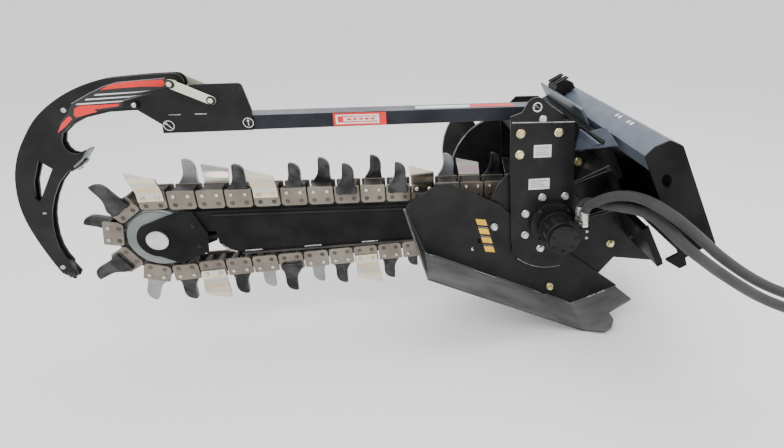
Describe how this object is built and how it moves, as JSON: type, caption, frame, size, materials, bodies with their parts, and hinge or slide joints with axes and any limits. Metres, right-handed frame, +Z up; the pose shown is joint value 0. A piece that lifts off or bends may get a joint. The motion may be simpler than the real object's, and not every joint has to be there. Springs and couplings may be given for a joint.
{
  "type": "chain trencher attachment",
  "caption": "Chain trencher attachment: toothed digging chain on a boom, crumber bar with hooked shoe, skid shoe, spoil auger, hydraulic motor and sliding loader mount.",
  "frame": {"origin": "centre of the loader plate's rear face", "axes": "+X from the digging nose towards the loader, level with the boom; +Y away from the operator's side; +Z up"},
  "size_m": [2.3409, 1.2903, 0.9097],
  "materials": {
    "black_paint": "semi-gloss black powder coat",
    "blue_paint": "semi-gloss blue-black paint",
    "link_steel": "dark brown heat-treated steel",
    "tooth_steel": "dark steel with worn edges",
    "zinc": "bright zinc plate",
    "yellow_zinc": "yellow zinc plate",
    "strap_zinc": "pale green-yellow zinc plate",
    "hose_rubber": "black woven sleeve over rubber"
  },
  "bodies": {
    "mount_frame": {"loader_plate": "black_paint", "top_rail": "blue_paint", "bottom_rail": "black_paint", "end_panel_near": "black_paint", "end_panel_far": "black_paint"},
    "trencher_frame": {"carriage_beam": "black_paint", "carriage_plate": "black_paint", "carriage_rail": "blue_paint", "carriage_clip": "black_paint", "lock_bracket": "black_paint", "gusset_upper": "blue_paint", "gusset_middle": "black_paint", "side_plate_near": "black_paint", "side_plate_far": "black_paint", "head_plate": "black_paint", "head_spacer": "black_paint", "bar_rest": "black_paint", "frame_tie": "black_paint", "boom_beam": "black_paint", "tension_screw": "zinc", "boom_seat_near": "black_paint", "boom_seat_far": "black_paint", "nose_yoke_near": "black_paint", "nose_yoke_far": "black_paint", "nose_axle": "zinc", "chain_upper_run": "link_steel", "chain_lower_run": "link_steel", "chain_nose_wrap": "link_steel", "chain_head_wrap": "link_steel", "auger_drive_case": "black_paint", "motor_ring": "black_paint", "motor_body": "black_paint", "port_block": "black_paint", "fitting_a": "zinc", "fitting_b": "zinc", "hose_a": "hose_rubber", "hose_b": "hose_rubber", "coupler_a": "zinc", "coupler_b": "zinc", "crumber_pin": "zinc", "skid_pivot_bolt": "yellow_zinc", "skid_lock_bolt": "zinc"},
    "head_rotor": {"head_shaft": "link_steel", "head_sprocket": "link_steel"},
    "auger_rotor": {"auger": "black_paint"},
    "idler": {"nose_wheel": "link_steel"},
    "crumber": {"crumber_bar": "black_paint", "crumber_bracket_near": "black_paint", "crumber_bracket_far": "black_paint", "hook_pin": "zinc", "hook_link_near": "strap_zinc", "hook_link_far": "strap_zinc"},
    "hook": {"hook_plate_near": "black_paint", "hook_plate_far": "black_paint", "hook_rib": "black_paint", "hook_tip": "tooth_steel"},
    "skid": {"skid_plate": "black_paint", "skid_foot": "black_paint"}
  },
  "joints": [
    {"name": "side_shift", "type": "slide", "parent": "mount_frame", "child": "trencher_frame", "axis": [0, 1, 0], "range_m": [-0.14, 0.04]},
    {"name": "head_spin", "type": "hinge", "parent": "trencher_frame", "child": "head_rotor", "pos_m": [-0.281, 0, -0.2365], "axis": [0, 1, 0], "continuous": true},
    {"name": "auger_spin", "type": "hinge", "parent": "trencher_frame", "child": "auger_rotor", "pos_m": [-0.39, 0.16, -0.163], "axis": [0, 1, 0], "continuous": true},
    {"name": "idler_spin", "type": "hinge", "parent": "trencher_frame", "child": "idler", "pos_m": [-1.56546, 0.06, -0.2365], "axis": [0, 1, 0], "continuous": true},
    {"name": "crumber_lift", "type": "hinge", "parent": "trencher_frame", "child": "crumber", "pos_m": [-0.33, 0.06, 0.1275], "axis": [0, 1, 0], "range_deg": [0, 35]},
    {"name": "hook_pivot", "type": "hinge", "parent": "crumber", "child": "hook", "pos_m": [-1.514, 0.06, 0.193], "axis": [0, 1, 0], "range_deg": [0, 25]},
    {"name": "skid_adjust", "type": "hinge", "parent": "trencher_frame", "child": "skid", "pos_m": [-0.277, -0.053, -0.501], "axis": [0, 1, 0], "range_deg": [0, 19.5]}
  ],
  "couplings": [
    {"joint": "auger_spin", "follows": "head_spin", "ratio": 1},
    {"joint": "idler_spin", "follows": "head_spin", "ratio": 0.7083}
  ]
}
